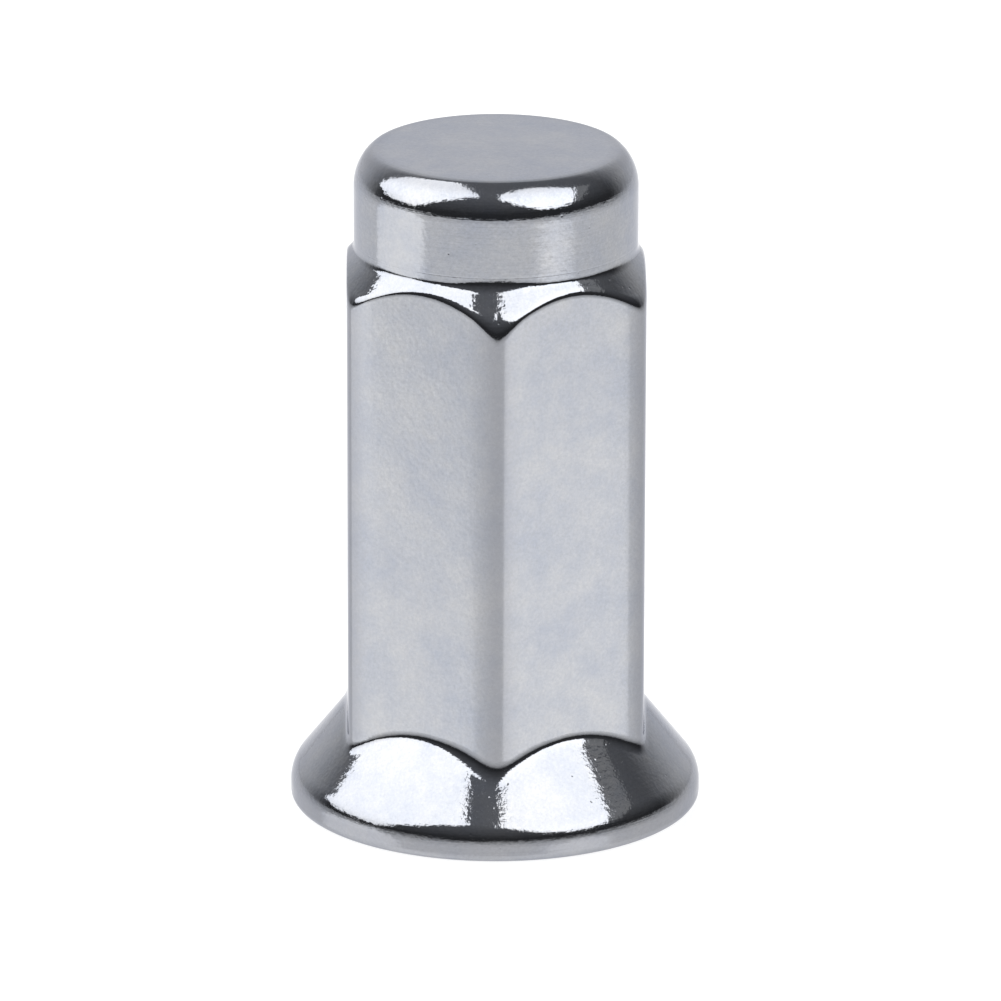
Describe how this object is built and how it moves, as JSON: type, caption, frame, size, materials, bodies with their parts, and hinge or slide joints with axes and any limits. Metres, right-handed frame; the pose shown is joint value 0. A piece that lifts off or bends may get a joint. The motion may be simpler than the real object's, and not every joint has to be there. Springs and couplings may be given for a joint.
{
  "type": "lug nut",
  "caption": "Closed-end lug nut with a hexagonal body, a round cap and a conical flange, for clamping a road wheel to its stud.",
  "frame": {"origin": "centre of the flat seat under the flange", "axes": "+Z along the thread axis, from the seat to the closed cap; a corner of the hexagon points along -Y, and two flats face the X axis"},
  "size_m": [0.0266, 0.0266, 0.0435],
  "materials": {
    "chrome_plate": "bright chrome plate over steel, with fine handling scratches"
  },
  "bodies": {
    "root": {"lug_nut": "chrome_plate"}
  },
  "joints": []
}
